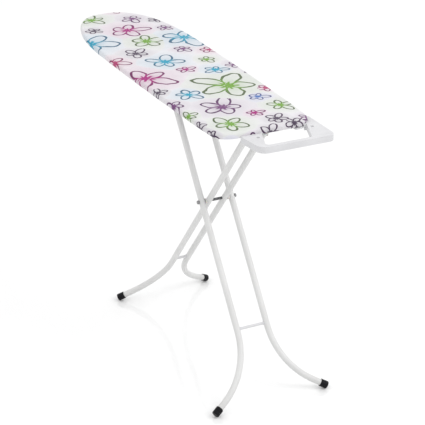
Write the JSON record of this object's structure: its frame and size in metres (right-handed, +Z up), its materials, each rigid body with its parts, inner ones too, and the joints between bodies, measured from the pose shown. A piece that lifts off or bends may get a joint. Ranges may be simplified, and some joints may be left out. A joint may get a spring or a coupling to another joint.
{
  "type": "ironing board",
  "caption": "Folding ironing board with a padded cotton cover, crossed tube frames that fold flat and an open iron rest at the heel.",
  "frame": {"origin": "on the floor, below the middle of the whole board's length and width", "axes": "+Z up, +X along the board towards the iron rest, +Y the left-hand side"},
  "size_m": [1.222, 0.363, 0.804],
  "materials": {
    "cotton_print": "printed cotton",
    "felt": "needled felt",
    "deck_paint": "powder coat",
    "leg_paint": "white enamel",
    "rest_paint": "powder coat",
    "bar_paint": "powder coat",
    "black_plastic": "moulded",
    "grey_plastic": "moulded",
    "white_nylon": "moulded",
    "zinc_steel": "zinc plated",
    "dark_steel": "blackened"
  },
  "bodies": {
    "board": {"cover": "cotton_print", "pad": "felt", "deck_sheet": "deck_paint", "deck_rim": "deck_paint", "cross_braces": "deck_paint", "guide_channel": "deck_paint", "hinge_bracket": "deck_paint", "hinge_rod": "zinc_steel", "hinge_washers": "white_nylon", "hinge_rod_caps": "white_nylon", "iron_rest": "rest_paint", "rest_spacers": "grey_plastic", "rest_screws": "zinc_steel", "lever_pin": "zinc_steel", "lever_spring": "zinc_steel"},
    "inner_frame": {"inner_leg_left": "leg_paint", "inner_leg_right": "leg_paint", "inner_crossbar": "bar_paint", "inner_leg_plugs": "white_nylon", "inner_foot_left": "black_plastic", "inner_foot_right": "black_plastic", "pivot_axle": "dark_steel", "pivot_caps": "grey_plastic", "pivot_spacers": "white_nylon"},
    "outer_frame": {"outer_leg_left": "leg_paint", "outer_leg_right": "leg_paint", "outer_crossbar": "bar_paint", "outer_leg_plugs": "white_nylon", "outer_foot_left": "black_plastic", "outer_foot_right": "black_plastic", "slide_rod": "zinc_steel", "slide_bushes": "white_nylon", "slide_rod_caps": "white_nylon"},
    "lever": {"release_lever": "zinc_steel", "lever_grip": "grey_plastic"}
  },
  "joints": [
    {"name": "leg_fold", "type": "hinge", "parent": "board", "child": "inner_frame", "pos_m": [0.44959, 0, 0.757], "axis": [0, 1, 0], "range_deg": [0, 48]},
    {"name": "leg_scissor", "type": "hinge", "parent": "inner_frame", "child": "outer_frame", "pos_m": [0.218, 0, 0.481], "axis": [0, 1, 0], "range_deg": [-99.5, 0]},
    {"name": "release_lever", "type": "hinge", "parent": "board", "child": "lever", "pos_m": [0.06102, -0.02, 0.768], "axis": [-1, 0, 0], "range_deg": [0, 6], "stiffness_Nm_per_rad": 0.6, "springref_deg": -5.73}
  ],
  "couplings": [
    {"joint": "leg_scissor", "follows": "leg_fold", "ratio": -2.0688}
  ]
}
